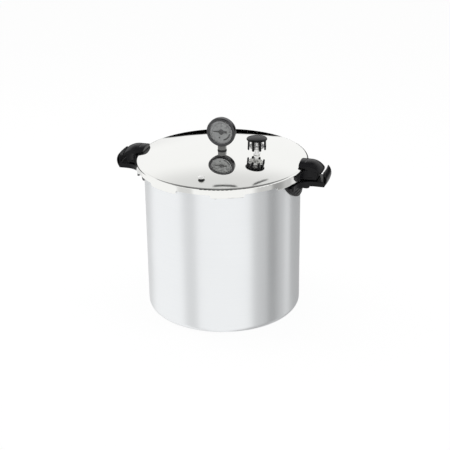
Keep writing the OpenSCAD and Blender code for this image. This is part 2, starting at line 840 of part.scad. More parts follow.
module cover_handle() {
    lower_out = grip_out - 6;
    lean = 4;
    side = grip_half(skirt_r) - grip_inset;
    flare = flare_r - 8;
    color([0.05, 0.05, 0.055])
        difference() {
            union() {
                // Top slab
                intersection() {
                    grip_top_form();
                    linear_extrude(grip_top + over) polygon(grip_plan(0, grip_out, 5));
                    across_y(2 * grip_w_in)
                        polygon([[grip_in - over, slab_z], [arch_x, slab_z], [grip_out + over, slab_z - 8.5],
                            [grip_out + over, grip_top + over], [grip_in - over, grip_top + over]]);
                    cylinder(r = grip_out, h = 2 * pot_h, $fn = 360);
                }
                // Lower body, with hollow sides and a leaning end
                difference() {
                    intersection() {
                        linear_extrude(slab_z + 2) polygon(grip_plan(grip_inset, lower_out, 4));
                        across_y(2 * grip_w_in)
                            polygon([[grip_in, grip_z], [lower_out - lean, grip_z], [lower_out, slab_z - 4],
                                [lower_out, slab_z - 2], [arch_x, slab_z + 2], [grip_in, slab_z + 2]]);
                    }
                    for (s = [-1, 1])
                        translate([grip_in - over, s * (side + 38), (grip_z + slab_z) / 2])
                            rotate([0, 90, 0]) cylinder(r = 40, h = grip_out, $fn = 180);
                }
                // Neck that flares out along the skirt
                intersection() {
                    translate([0, 0, grip_z + 6]) linear_extrude(slab_z - grip_z - 7) neck2d(side - 2, flare);
                    rotate_extrude($fn = 180)
                        polygon([[skirt_ri, grip_z], [skirt_r + flare, grip_z], [skirt_r + flare, slab_z],
                            [skirt_ri + 9, slab_z], [skirt_ri, slab_z - 6]]);
                }
            }
            // The cover, with its rolled edge
            rotate_extrude($fn = 360) dome2d(-seat_gap, grip_z - 2 * over);
            // Groove across the top
            across_y(2 * grip_w_in)
                translate([skirt_r, grip_top]) polygon([[-2.2, over], [-0.9, -1.4], [0.9, -1.4], [2.2, over]]);
            // Pocket for the bracket
            strap(skirt_r, cover_tongue_z, skirt_z + 0.5, edge_cz - 0.5, seat_gap);
            // Screw hole and counterbore
            translate([cover_screw_x, 0, grip_z - over]) {
                cylinder(d = screw_d + 2 * seat_gap, h = cover_tongue_z + strap_t + 4 - grip_z);
                cylinder(d = screw_head_d + 2 * seat_gap, h = head_t + 0.5 + over);
            }
            // Relief round the counterbore, as moulded
            for (s = [-1, 1])
                translate([cover_screw_x - 6, s * (screw_head_d / 2 + mould_wall + 2.6) - 2.6, grip_z - over])
                    cube([lower_out - cover_screw_x, 5.2, over + 7]);
        }
}

// The neck in plan: from the lower body's sides out along the skirt
module neck2d(side, flare) {
    far = skirt_r + flare - 2;
    translate([grip_in, -side]) square([far - grip_in, 2 * side]);
    for (s = [-1, 1])
        difference() {
            translate([skirt_r - 16, s * (side + flare / 2 - 0.5)])
                translate([0, -flare / 2 - 0.5]) square([far - skirt_r + 16, flare + 1]);
            translate([far, s * (side + flare)]) circle(r = flare, $fn = 120);
        }
}

module cover_handle_left() {
    left_side() cover_handle();
}

module cover_handle_right() {
    cover_handle();
}

module cover_bracket_left() {
    left_side() cover_bracket();
}

module cover_bracket_right() {
    cover_bracket();
}

module cover_handle_screws() {
    head_z = grip_z + head_t + 0.5;
    color("lightgray")
        for (a = [0, 180])
            rotate([0, 0, a])
                translate([cover_screw_x, 0, head_z - seat_gap])
                    screw_up(screw_d, screw_head_d, cover_tongue_z + strap_t + 2 - head_z);
}

// ---------------------------------------------------------------- overpressure plug

// A rubber plug with a domed head above the cover and a barb below it
module overpressure_plug() {
    r = norm([plug_x, plug_y]);
    head_r = plug_head_d / 2;
    neck_r = plug_neck_d / 2;
    top = dome_z(r - head_r) + seat_gap;
    low = under_z(r + neck_r + 2) - seat_gap;
    ball_r = (pow(head_r, 2) + 16) / 8;
    color([0.08, 0.08, 0.08])
        translate([-plug_x, plug_y, 0]) {
            intersection() {
                translate([0, 0, top + 5 - ball_r]) sphere(r = ball_r);
                translate([0, 0, top]) cylinder(r = head_r, h = 10);
            }
            translate([0, 0, low - over]) cylinder(r = neck_r, h = top - low + 2 * over);
            translate([0, 0, low - 3]) cylinder(r1 = neck_r - 1.5, r2 = neck_r + 1.5, h = 3);
        }
}

// ---------------------------------------------------------------- air vent

module air_vent_pin() {
    swell = 1.2;
    ball_r = (pow(air_head_d / 2, 2) + pow(swell, 2)) / (2 * swell);
    color("gainsboro")
        translate([0, -air_y, 0]) {
            translate([0, 0, air_head_z]) cylinder(d = air_head_d, h = air_head_h - swell);
            intersection() {
                translate([0, 0, air_head_z + air_head_h - ball_r]) sphere(r = ball_r, $fn = 180);
                translate([0, 0, air_head_z + air_head_h - swell - 0.2]) cylinder(d = air_head_d, h = swell + 1);
            }
            translate([0, 0, air_barrel_top - over])
                cylinder(r = air_stem_r, h = air_head_z - air_barrel_top + 2 * over);
            translate([0, 0, air_collar_z]) cylinder(r = air_barrel_r, h = air_barrel_top - air_collar_z);
            translate([0, 0, air_collar_z]) cylinder(r = air_collar_r, h = air_collar_h);
        }
}

// A rubber grommet that seals the pin's hole, with a flange each side of the cover
module air_vent_grommet() {
    color([0.1, 0.1, 0.1])
        translate([0, -air_y, 0])
            difference() {
                union() {
                    translate([0, 0, grommet_top - grommet_t]) cylinder(r = grommet_r, h = grommet_t);
                    translate([0, 0, grommet_low]) cylinder(r = air_neck_r, h = grommet_top - grommet_low);
                    translate([0, 0, grommet_low]) cylinder(r = grommet_r, h = grommet_t);
                }
                translate([0, 0, grommet_low - over])
                    cylinder(r = air_bore_r, h = grommet_top - grommet_low + 2 * over);
            }
}

// ---------------------------------------------------------------- vent pipe and regulator

module vent_pipe() {
    rise = dome_z(vent_x - vent_base_r) - vent_z + seat_gap;
    foot_z = under_z(vent_x + vent_r) - nut_h - 3;
    color("silver")
        translate([vent_x, 0, 0])
            difference() {
                union() {
                    translate([0, 0, foot_z]) cylinder(r = vent_r, h = vent_z + vent_h - 1.5 - foot_z);
                    translate([0, 0, vent_z + vent_h - 1.5]) cylinder(r1 = vent_r, r2 = vent_r - 1.2, h = 1.5);
                    translate([0, 0, vent_z + rise]) cylinder(r = vent_base_r, h = vent_base_h);
                }
                translate([0, 0, foot_z - over]) cylinder(d = vent_bore, h = 2 * vent_h + 20);
            }
}

module vent_pipe_nut() {
    low = under_z(vent_x + vent_nut_w / sqrt(3)) - seat_gap - nut_h;
    color("silver")
        translate([vent_x, 0, low])
            difference() {
                hexagon(vent_nut_w, nut_h);
                translate([0, 0, -over]) cylinder(r = vent_r + run_gap, h = nut_h + 2 * over);
            }
}

// The moulded cap: a swollen disc on splayed legs that grip the weight
module regulator_cap() {
    ball_r = (pow(cap_r - 1.5, 2) + pow(cap_swell, 2)) / (2 * cap_swell);
    color([0.09, 0.09, 0.1])
        translate([vent_x, 0, 0])
            difference() {
                union() {
                    translate([0, 0, cap_z])
                        rotate_extrude()
                            polygon(rounded([[0, 0], [cap_r, 0], [cap_r, cap_t], [0, cap_t]], [0, 1.2, 1.5, 0]));
                    intersection() {
                        translate([0, 0, cap_z + cap_t + cap_swell - ball_r]) sphere(r = ball_r, $fn = 180);
                        translate([0, 0, cap_z + cap_t - 0.5]) cylinder(r = cap_r - 1.5, h = 5);
                    }
                    for (i = [0 : cap_legs - 1])
                        rotate([0, 0, (i + 0.5) * 360 / cap_legs])
                            across_y(cap_leg_w) polygon(cap_leg());
                }
                // Socket for the weight's stud
                translate([0, 0, cap_z - over]) cylinder(r = 4 + run_gap, h = 3 + over);
            }
}

// Side outline of one leg: it leans out and tapers towards its end
function cap_leg() =
    let (inner = weight_r + slide_gap)
    [[inner, cap_z + over], [inner, cap_z - 2], [leg_out + cap_splay - 2.4, leg_end_z],
        [leg_out + cap_splay, leg_end_z], [leg_out + 0.6, cap_z - 2], [leg_out + 1.2, cap_z + over]];

// The metal weight: it drops over the pipe and closes its bore
module regulator_weight() {
    low = leg_end_z + 2;
    top = cap_z - seat_gap;
    seat_z = vent_z + vent_h;
    color("silver")
        translate([vent_x, 0, 0])
            difference() {
                union() {
                    rotate_extrude()
                        polygon(rounded([[0, low], [weight_r, low], [weight_r, (low + top) / 2 - 0.7],
                            [weight_r - 0.7, (low + top) / 2], [weight_r, (low + top) / 2 + 0.7],
                            [weight_r, top], [0, top]], [0, 1, 0, 0, 0, 1, 0]));
                    translate([0, 0, top - over]) cylinder(r = 4, h = 3 + over);
                }
                translate([0, 0, low - over]) cylinder(r = vent_r + slide_gap, h = seat_z + slide_gap - low + over);
                translate([0, 0, low - over]) cylinder(r1 = vent_r + 2.2 + over, r2 = vent_r, h = 2.2 + over + slide_gap);
            }
}

// ---------------------------------------------------------------- gauge

module gauge_stem() {
    base_z = dome_z(0) + 2 * seat_gap + gasket_t;
    neck_top = -case_ri + 1.2;
    foot_z = under_z(0) - nut_h - 4;
    block_back = case_back + case_wall + 0.4;
    color("darkgray")
        difference() {
            union() {
                translate([0, 0, foot_z]) cylinder(d = shank_d, h = base_z + over - foot_z);
                translate([0, 0, base_z])
                    rotate([0, 0, 30]) hexagon(stem_w, gauge_z - bezel_r - seat_gap - base_z);
                translate([0, -neck_z, base_z + 2]) cylinder(r = neck_r, h = gauge_z + neck_top - base_z - 2);
                // Block inside the case that carries the tube and the movement
                in_gauge() {
                    translate([0, 0, block_back])
                        linear_extrude(gear_z - block_back)
                            intersection() {
                                translate([-block_half, -case_ri]) square([2 * block_half, case_ri + foot[1] - 4]);
                                circle(r = case_ri - seat_gap, $fn = 180);
                            }
                    translate([-block_half, foot[1] - 4 - over, block_back])
                        cube([2 * block_half, 7.5 + over, back_plate_z - seat_gap - block_back]);
                }
            }
            translate([0, -neck_z, foot_z - over]) cylinder(d = 3, h = gauge_z - case_ri + 3 - foot_z);
        }
}

module gauge_gasket() {
    color([0.1, 0.1, 0.1])
        translate([0, 0, dome_z(0) + seat_gap])
            difference() {
                cylinder(d = shank_d + 6, h = gasket_t);
                translate([0, 0, -over]) cylinder(d = shank_d + 2 * seat_gap, h = gasket_t + 2 * over);
            }
}

module gauge_nut() {
    color("silver")
        translate([0, 0, under_z(gauge_nut_w / sqrt(3)) - seat_gap - nut_h])
            difference() {
                hexagon(gauge_nut_w, nut_h);
                translate([0, 0, -over]) cylinder(d = shank_d + 2 * run_gap, h = nut_h + 2 * over);
            }
}

module gauge_case() {
    color([0.15, 0.15, 0.16])
        difference() {
            in_gauge()
                rotate_extrude($fn = 120)
                    difference() {
                        polygon(rounded([[0, case_back], [case_r, case_back], [case_r, case_front],
                            [0, case_front]], [0, 2.5, 0, 0]));
                        translate([0, case_back + case_wall]) square([case_ri, case_depth]);
                    }
            // Hole for the stem's neck
            translate([0, -neck_z, gauge_z - case_r - over]) cylinder(r = neck_r + seat_gap, h = case_wall + 4);
        }
}

// The ring that holds the lens, with a sloping front face
module gauge_bezel() {
    lip = lens_z + lens_t + seat_gap;
    color("gray")
        in_gauge()
            rotate_extrude($fn = 120)
                difference() {
                    polygon(rounded([[case_r - 1.6, bezel_skirt_z], [bezel_r, bezel_skirt_z], [bezel_r, bezel_front - 1],
                        [bezel_r - 1.5, bezel_front], [bezel_ri, lip + 0.6], [bezel_ri, lip],
                        [case_r - 1.6, lip]], [0, 0, 0.8, 0.6, 0, 0, 0]));
                    translate([0, bezel_skirt_z - over]) square([case_r + seat_gap, 4 + over]);
                    translate([0, lens_z - over]) square([case_r - 0.8, lens_t + seat_gap + over]);
                }
}

module gauge_lens() {
    color([0.85, 0.9, 0.92, 0.3])
        in_gauge() translate([0, 0, lens_z]) cylinder(r = case_r - 0.8 - seat_gap, h = lens_t, $fn = 120);
}

// The printed disc, on two spacers that stand on the front plate
module gauge_dial() {
    color("whitesmoke")
        in_gauge()
            difference() {
                union() {
                    translate([0, 0, dial_z]) cylinder(r = case_ri - seat_gap, h = dial_t, $fn = 120);
                    for (p = [pillar_top, foot])
                        translate([p[0], p[1], front_plate_z + plate_t + seat_gap])
                            cylinder(r = pillar_r, h = dial_z - front_plate_z - plate_t, $fn = 32);
                }
                translate([0, 0, dial_z - over]) cylinder(r = 2, h = dial_t + 2 * over, $fn = 32);
            }
}

// The blade points left at rest, with a short tail to the right
module gauge_pointer() {
    color("black")
        in_gauge()
            difference() {
                union() {
                    translate([0, 0, pointer_z])
                        linear_extrude(pointer_t) {
                            polygon([[-18.5, 0.3], [-18.5, -0.3], [0, -1.2], [9, -1.5], [9, 1.5], [0, 1.2]]);
                            circle(r = 2.4, $fn = 48);
                        }
                    translate([0, 0, pointer_z - 0.5]) cylinder(r = 1.5, h = pointer_t + 1, $fn = 48);
                }
                translate([0, 0, pointer_z - over]) cylinder(r = arbor_r + run_gap, h = pointer_t + over + 0.2, $fn = 32);
            }
}

// ---------------------------------------------------------------- gauge movement

function involute(a) = (tan(a) - a * PI / 180) * 180 / PI;

// Half the angle of one tooth at radius r
function tooth_half(teeth, r) =
    let (pitch = tooth_m * teeth / 2)
    let (base = pitch * cos(pressure_angle))
    90 / teeth + involute(pressure_angle) - (r > base ? involute(acos(base / r)) : 0)
        - backlash / pitch * 90 / PI;

// One tooth's outline about the angle at, from its root to its tip and back
function tooth(teeth, at, root, tip, steps = 5) =
    let (radii = [for (i = [0 : steps]) root + (tip - root) * i / steps])
    concat(
        [for (r = radii) r * [cos(at - tooth_half(teeth, r)), sin(at - tooth_half(teeth, r))]],
        [for (i = [steps : -1 : 0]) radii[i] * [cos(at + tooth_half(teeth, radii[i])),
            sin(at + tooth_half(teeth, radii[i]))]]);

pinion_add = 0.85 * tooth_m;
pinion_ded = 1.1 * tooth_m;
sector_add = 0.65 * tooth_m;
sector_ded = 1.15 * tooth_m;

// The small gear on the pointer's arbor, a gap facing the sector's middle tooth
module pinion() {
    step = 360 / pinion_teeth;
    root = pinion_r - pinion_ded;
    low = back_plate_z - 0.5;
    color("goldenrod")
        in_gauge() {
            translate([0, 0, gear_z])
                linear_extrude(gear_t)
                    polygon([for (i = [0 : pinion_teeth - 1])
                        each tooth(pinion_teeth, pivot_turn + (i + 0.5) * step, root, pinion_r + pinion_add)]);
            translate([0, 0, low]) cylinder(r = arbor_r, h = pointer_z + pointer_t - low, $fn = 32);
        }
}

// The toothed sector, its two arms, hub and tail, cut from one plate
module sector_gear() {
    step = 360 / sector_teeth;
    mesh = pivot_turn + 180;
    back = ceil(sector_swing / step) + 1;
    root = sector_r - sector_ded;
    from = mesh - (back + 0.5) * step;
    to = mesh + 1.5 * step;
    rim_ri = root - 2;
    color("goldenrod")
        in_gauge()
            translate([pivot[0], pivot[1], 0]) {
                translate([0, 0, gear_z])
                    linear_extrude(gear_t)
                        difference() {
                            union() {
                                intersection() {
                                    difference() {
                                        circle(r = root + 0.02, $fn = 180);
                                        circle(r = rim_ri, $fn = 180);
                                    }
                                    pie2d(from, to, root + over);
                                }
                                for (i = [-back : 1])
                                    polygon(concat(tooth(sector_teeth, mesh + i * step, root, sector_r + sector_add),
                                        [(root - 0.6) * [cos(mesh + i * step + 1.2), sin(mesh + i * step + 1.2)],
                                            (root - 0.6) * [cos(mesh + i * step - 1.2), sin(mesh + i * step - 1.2)]]));
                                for (a = [from + 3, to - 3])
                                    bar2d([0, 0], (rim_ri + 0.6) * [cos(a), sin(a)], 0.9);
                                circle(r = 2.3, $fn = 48);
                                bar2d([0, 0], tail_pin - pivot, eye_r);
                            }
                            translate(tail_pin - pivot) circle(r = link_pin_r + run_gap, $fn = 32);
                        }
                translate([0, 0, back_plate_z - 0.4])
                    cylinder(r = arbor_r, h = front_plate_z + plate_t + 0.8 - back_plate_z, $fn = 32);
            }
}

// Outline shared by both plates, with the two arbor holes
module plate2d() {
    difference() {
        union() {
            for (p = [[0, 0], pivot, foot, pillar_top])
                translate(p) circle(r = plate_boss_r);
            strut2d([0, 0], pivot, plate_arm_r);
            strut2d(pivot, foot, plate_arm_r);
            strut2d(foot, pillar_top, plate_arm_r);
            strut2d([0, 0], pillar_top, plate_arm_r);
        }
        for (p = [[0, 0], pivot])
            translate(p) circle(r = arbor_r + run_gap, $fn = 32);
        for (p = [foot, pillar_top])
            translate(p) circle(r = pillar_r - 0.4 + seat_gap, $fn = 32);
    }
}

module movement_front_plate() {
    color("goldenrod") in_gauge() translate([0, 0, front_plate_z]) linear_extrude(plate_t) plate2d();
}

module movement_back_plate() {
    color("goldenrod") in_gauge() translate([0, 0, back_plate_z]) linear_extrude(plate_t) plate2d();
}

// The shouldered pillars that keep the plates apart
module movement_pillars() {
    gap_z = back_plate_z + plate_t;
    color("darkgoldenrod")
        in_gauge()
            for (p = [foot, pillar_top])
                translate([p[0], p[1], 0]) {
                    translate([0, 0, gap_z]) cylinder(r = pillar_r, h = front_plate_z - gap_z, $fn = 32);
                    translate([0, 0, back_plate_z]) cylinder(r = pillar_r - 0.4, h = 2 * plate_t + front_plate_z - gap_z, $fn = 32);
                }
}

// The flattened tube bent round the movement, open towards the lower right,
// with a flat tip for the link's upper end
module bourdon_tube() {
    flat = tube_w / 2 - tube_t / 2;
    color("peru")
        in_gauge() {
            rotate([0, 0, tube_end])
                rotate_extrude(angle = tube_start - tube_end, $fn = 180)
                    translate([tube_r, tube_z]) {
                        translate([-tube_t / 2, -flat]) square([tube_t, 2 * flat]);
                        translate([0, flat]) circle(d = tube_t, $fn = 32);
                        translate([0, -flat]) circle(d = tube_t, $fn = 32);
                    }
            translate([0, 0, lug_plate_z])
                linear_extrude(link_t)
                    difference() {
                        bar2d(tube_r * [cos(tube_end + 3), sin(tube_end + 3)], tip_pin, tube_t / 2);
                        translate(tip_pin) circle(r = link_pin_r, $fn = 32);
                    }
        }
}

// The link from the tube's tip to the sector's tail, its pin through the tail
module gauge_link() {
    color("goldenrod")
        in_gauge() {
            translate([0, 0, link_z])
                linear_extrude(link_t)
                    difference() {
                        bar2d(tail_pin, tip_pin, 1.3);
                        translate(tip_pin) circle(r = link_pin_r, $fn = 32);
                    }
            translate([tail_pin[0], tail_pin[1], link_z]) cylinder(r = link_pin_r, h = gear_front - link_z + 0.4, $fn = 32);
        }
}

canner_body();
body_handle_left();
body_handle_right();
body_bracket_left();
body_bracket_right();
body_handle_screws();
lock_bracket();
lock_bracket_screw();
lock_bracket_nut();
canning_rack();
cover();
sealing_ring();
cover_handle_left();
cover_handle_right();
cover_bracket_left();
cover_bracket_right();
cover_handle_screws();
overpressure_plug();
air_vent_pin();
air_vent_grommet();
vent_pipe();
vent_pipe_nut();
regulator_cap();
regulator_weight();
gauge_stem();
gauge_gasket();
gauge_nut();
gauge_case();
gauge_bezel();
gauge_lens();
gauge_dial();
gauge_pointer();
bourdon_tube();
movement_front_plate();
movement_back_plate();
movement_pillars();
pinion();
sector_gear();
gauge_link();
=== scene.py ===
"""A large pressure canner: drawn pot, polished cover, moulded handles, regulator and dial gauge.
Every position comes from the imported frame. Metres, Z up, front towards -Y."""

import math

import bmesh
import bpy
import numpy as np
from mathutils import Matrix, Vector


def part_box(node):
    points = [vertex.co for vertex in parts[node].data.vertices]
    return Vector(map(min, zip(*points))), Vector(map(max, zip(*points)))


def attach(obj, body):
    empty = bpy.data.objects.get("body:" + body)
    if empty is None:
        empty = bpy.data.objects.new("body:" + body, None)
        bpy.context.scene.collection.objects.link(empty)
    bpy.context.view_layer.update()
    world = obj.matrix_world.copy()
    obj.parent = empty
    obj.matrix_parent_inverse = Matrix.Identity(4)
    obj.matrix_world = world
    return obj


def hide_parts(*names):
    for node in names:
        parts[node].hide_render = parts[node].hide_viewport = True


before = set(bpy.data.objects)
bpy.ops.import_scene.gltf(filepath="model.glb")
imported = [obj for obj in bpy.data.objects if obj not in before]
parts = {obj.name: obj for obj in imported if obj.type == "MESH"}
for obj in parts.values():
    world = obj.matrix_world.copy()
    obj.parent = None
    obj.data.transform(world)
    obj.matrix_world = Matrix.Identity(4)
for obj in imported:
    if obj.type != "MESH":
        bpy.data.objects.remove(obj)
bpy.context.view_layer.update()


# ---- View --------------------------------------------------------------------------------
# A long lens looks down on the cover from the right of the pot's front. It aims close to the
# pot's middle, and it is level apart from a slight roll.
VIEW_TURN = math.radians(17)
view_pitch = math.radians(23.916)
view_roll = math.radians(-0.778)
view_far, aim_aside, aim_height = 2.3841, 0.0035, 0.16386
sensor_mm, focal_mm, sight_limit = 36, 95.364, 60
turn = Matrix.Rotation(VIEW_TURN, 3, "Z")
ahead = turn @ Vector((0, math.cos(view_pitch), -math.sin(view_pitch)))
sideways = turn @ Vector((1, 0, 0))
upright = sideways.cross(ahead)
right_side = sideways * math.cos(view_roll) + upright * math.sin(view_roll)
top_side = upright * math.cos(view_roll) - sideways * math.sin(view_roll)
eye = turn @ Vector((aim_aside, 0, 0)) + Vector((0, 0, aim_height)) - ahead * view_far
lens_data = bpy.data.cameras.new("view")
lens_data.sensor_width = sensor_mm
lens_data.lens = focal_mm
lens_data.clip_end = sight_limit
view = bpy.data.objects.new("view", lens_data)
view.matrix_world = Matrix((
    (right_side.x, top_side.x, -ahead.x, eye.x),
    (right_side.y, top_side.y, -ahead.y, eye.y),
    (right_side.z, top_side.z, -ahead.z, eye.z),
    (0, 0, 0, 1)))
bpy.context.collection.objects.link(view)
bpy.context.scene.camera = view
bpy.context.scene.view_settings.view_transform = "Standard"


# ---- Studio ------------------------------------------------------------------------------
# A white floor in a white room with three soft lamps. Polished metal mirrors the room and the
# grey and black boards hung in it; matt pieces get an even pale light from it.
def feed(tree, where, value):
    """Links an input socket to another socket, or sets it to a plain value."""
    if isinstance(value, bpy.types.NodeSocket):
        tree.links.new(value, where)
    else:
        where.default_value = value


def put(tree, kind, **sockets):
    """Adds one shader node and sets or links its inputs by name, spaces written as _."""
    made = tree.nodes.new(kind)
    for name, value in sockets.items():
        feed(tree, made.inputs[name.replace("_", " ")], value)
    return made


def sums(tree, act, *values):
    """The result of one Math node working on numbers or sockets."""
    made = tree.nodes.new("ShaderNodeMath")
    made.operation = act
    for where, value in zip(made.inputs, values):
        feed(tree, where, value)
    return made.outputs[0]


def times(tree, *values):
    """The product of two numbers or sockets."""
    return sums(tree, "MULTIPLY", *values)


def vector_math(tree, act, first, second=None):
    """A Vector Math node working on a socket and, where it takes one, a fixed vector."""
    made = tree.nodes.new("ShaderNodeVectorMath")
    made.operation = act
    tree.links.new(first, made.inputs[0])
    if second:
        made.inputs[1].default_value = second
    return made.outputs


def ramp(tree, value, low, high, out_low=0.0, out_high=1.0):
    """An S-shaped step from out_low to out_high while value goes from low to high."""
    made = tree.nodes.new("ShaderNodeMapRange")
    made.interpolation_type = "SMOOTHSTEP"
    tree.links.new(value, made.inputs["Value"])
    ends = {"From Min": low, "From Max": high, "To Min": out_low, "To Max": out_high}
    for name, number in ends.items():
        made.inputs[name].default_value = number
    return made.outputs["Result"]


studio = bpy.data.worlds.new("studio")
bpy.context.scene.world = studio
studio.use_nodes = True
room = studio.node_tree
room.nodes.clear()
toward = put(room, "ShaderNodeTexCoord").outputs["Generated"]
height = put(room, "ShaderNodeSeparateXYZ", Vector=toward).outputs["Z"]
bearing = vector_math(room, "NORMALIZE", vector_math(room, "MULTIPLY", toward, (1, 1, 0))[0])[0]


def towards(centre):
    """Cosine of the turn from a bearing in degrees, seen from the camera's side."""
    a = math.radians(centre) + VIEW_TURN
    return vector_math(room, "DOT_PRODUCT", bearing, (math.cos(a), math.sin(a), 0))["Value"]


def sector(centre, half, soft):
    """1 for bearings within half of centre, falling to 0 over soft, all in degrees."""
    outer, inner = math.radians(half + soft), math.radians(max(half - soft, 0))
    return ramp(room, towards(centre), math.cos(outer), math.cos(inner))


def between(low, high, soft, rise=height):
    """1 for heights between two elevations in degrees, falling to 0 over soft."""
    s = [math.sin(math.radians(v)) for v in (low - soft, low + soft, high - soft, high + soft)]
    return times(room, ramp(room, rise, s[0], s[1]), ramp(room, rise, s[2], s[3], 1, 0))


def darken(light, mask, level):
    """The light, brought to level times itself where mask is 1."""
    return times(room, light, ramp(room, mask, 0, 1, 1, level))


BACK, FRONT = 90, -90
WALL_HALF, WALL_SOFT, WALL_TOP = 34, 8, 42.8
STRIP_SOFT, STRIP_EDGE, STRIP_LEVEL = 0.6, 0.2, 0.05
MATT_LIGHT = 0.72
# Grey boards low round the room, which shade the pot's wall: bearing, half width, softness, level.
wall_boards = (
    (-141, 7, 8, 0.74), (-25, 9, 22, 0.62), (-4, 16, 6, 0.56),
    (52, 24, 6, 0.5), (22, 8, 6, 0.8), (116, 12, 14, 0.8))
# Two narrow black strips at the back: bearing, half width, low and high elevation, and lean.
strips = ((89.6, 2.3, 39.45, 39.95, 0), (83, 1.1, 36.8, 37.4, 0.95))

shine = 1.0
low_part = between(-89, 12, 5)
for centre, half, soft, level in wall_boards:
    shine = darken(shine, times(room, low_part, sector(centre, half, soft)), level)
# The back wall greys towards its top, where a black board starts. Another hangs over the front,
# a third stands at the foot of the back, and the ceiling is dim. The cover mirrors all of them.
back_wall = times(room, sector(BACK, WALL_HALF, WALL_SOFT), between(-20, WALL_TOP, 1))
over_wall = times(room, sector(BACK, WALL_HALF, WALL_SOFT), between(WALL_TOP, 60, 1))
front_board = times(room, sector(FRONT, 80, 8), between(37, 64, 3))
foot_board = times(room, sector(BACK, 60, 9), between(-14, 6.2, 0.6))
shine = darken(shine, times(room, back_wall, ramp(room, height, 0.42, 0.66)), 0.76)
shine = darken(shine, sums(room, "MAXIMUM", over_wall, front_board), 0.03)
shine = darken(shine, ramp(room, height, 0.64, 0.72), 0.32)
shine = darken(shine, foot_board, 0.0)
for centre, half, low, high, lean in strips:
    leaning = sums(room, "SUBTRACT", height, times(room, lean, towards(centre + 90)))
    strip = times(room, sector(centre, half, STRIP_SOFT), between(low, high, STRIP_EDGE, leaning))
    shine = darken(shine, strip, STRIP_LEVEL)
rays = put(room, "ShaderNodeLightPath").outputs
seen = sums(room, "MAXIMUM", rays["Is Camera Ray"], rays["Is Transmission Ray"])
mirrored = times(room, rays["Is Glossy Ray"], sums(room, "SUBTRACT", 1.0, seen))
strength = sums(room, "ADD", seen, times(room, mirrored, shine))
others = sums(room, "SUBTRACT", 1.0, sums(room, "MAXIMUM", seen, mirrored))
plain = times(room, MATT_LIGHT, others)
backdrop = put(room, "ShaderNodeBackground", Strength=sums(room, "ADD", strength, plain))
backdrop.inputs["Color"].default_value = (1, 1, 1, 1)
put(room, "ShaderNodeOutputWorld", Surface=backdrop.outputs[0])

reach, floor_drop, floor_tone = 6, 0.0002, 0.93
corners = [(-reach, -reach, 0), (reach, -reach, 0), (reach, reach, 0), (-reach, reach, 0)]
floor_mesh = bpy.data.meshes.new("floor")
floor_mesh.from_pydata(corners, [], [(0, 1, 2, 3)])
floor = bpy.data.objects.new("floor", floor_mesh)
floor.location.z = -floor_drop
bpy.context.collection.objects.link(floor)
floor.visible_glossy = False
paper = bpy.data.materials.new("white_paper")
paper.use_nodes = True
tree = paper.node_tree
tree.nodes.clear()
matt = put(tree, "ShaderNodeBsdfDiffuse", Color=(floor_tone, floor_tone, floor_tone, 1))
glow = put(tree, "ShaderNodeEmission", Color=(1, 1, 1, 1), Strength=1.0)
rays = put(tree, "ShaderNodeLightPath").outputs
seen = sums(tree, "MAXIMUM", rays["Is Camera Ray"], rays["Is Transmission Ray"])
mixed = put(tree, "ShaderNodeMixShader", Fac=times(tree, floor_tone, seen))
tree.links.new(matt.outputs[0], mixed.inputs[1])
tree.links.new(glow.outputs[0], mixed.inputs[2])
put(tree, "ShaderNodeOutputMaterial", Surface=mixed.outputs[0])
floor_mesh.materials.append(paper)

# Name, bearing and elevation in degrees, distance, side and watts. Mirrors do not show the lamps.
lit_middle = Vector((0, 0, 0.25))
lamps = (("left_panel", 160, 48, 1.6, 1.0, 9),
         ("right_panel", -20, 40, 1.8, 0.8, 6),
         ("top_panel", 60, 80, 1.7, 1.2, 9))
for lamp_name, azimuth, elevation, far, size, power in lamps:
    lamp_data = bpy.data.lights.new(lamp_name, "AREA")
    lamp_data.shape = "SQUARE"
    lamp_data.size = size
    lamp_data.energy = power
    lamp = bpy.data.objects.new(lamp_name, lamp_data)
    a, e = math.radians(azimuth) + VIEW_TURN, math.radians(elevation)
    out = Vector((math.cos(a) * math.cos(e), math.sin(a) * math.cos(e), math.sin(e)))
    lamp.location = out * far + lit_middle
    lamp.visible_glossy = False
    lamp.rotation_mode = "QUATERNION"
    lamp.rotation_quaternion = (lamp.location - lit_middle).to_track_quat("Z", "Y")
    bpy.context.collection.objects.link(lamp)


# ---- Pot ---------------------------------------------------------------------------------
# One deep-drawn aluminium shell with a turned-out rim and eight locking lugs under it,
# finished with fine lines round the pot that spread its highlights up and down.
def finish_of(name, colour, metallic, roughness, **constant):
    """A material with one Principled shader; returns it with its tree, shader and Object
    coordinates. The colour and roughness are the mean values that its noises vary."""
    made = bpy.data.materials.new(name)
    made.use_nodes = True
    tree = made.node_tree
    tree.nodes.clear()
    shader = put(tree, "ShaderNodeBsdfPrincipled", Base_Color=(*colour, 1), Metallic=metallic,
                 Roughness=roughness, **constant)
    put(tree, "ShaderNodeOutputMaterial", Surface=shader.outputs[0])
    spot = put(tree, "ShaderNodeTexCoord").outputs["Object"]
    return made, tree, shader, spot


def grain(tree, vector, scale, detail, rough=0.5):
    """Soft noise between 0 and 1 on a vector socket."""
    return put(tree, "ShaderNodeTexNoise", Vector=vector, Scale=scale, Detail=detail,
               Roughness=rough).outputs["Fac"]


def stretched(tree, spot, along, detail, rough=0.5):
    """Noise on coordinates scaled by along (cycles a metre on X, Y and Z)."""
    scaled = put(tree, "ShaderNodeMapping", Vector=spot, Scale=along).outputs[0]
    return grain(tree, scaled, 1.0, detail, rough)


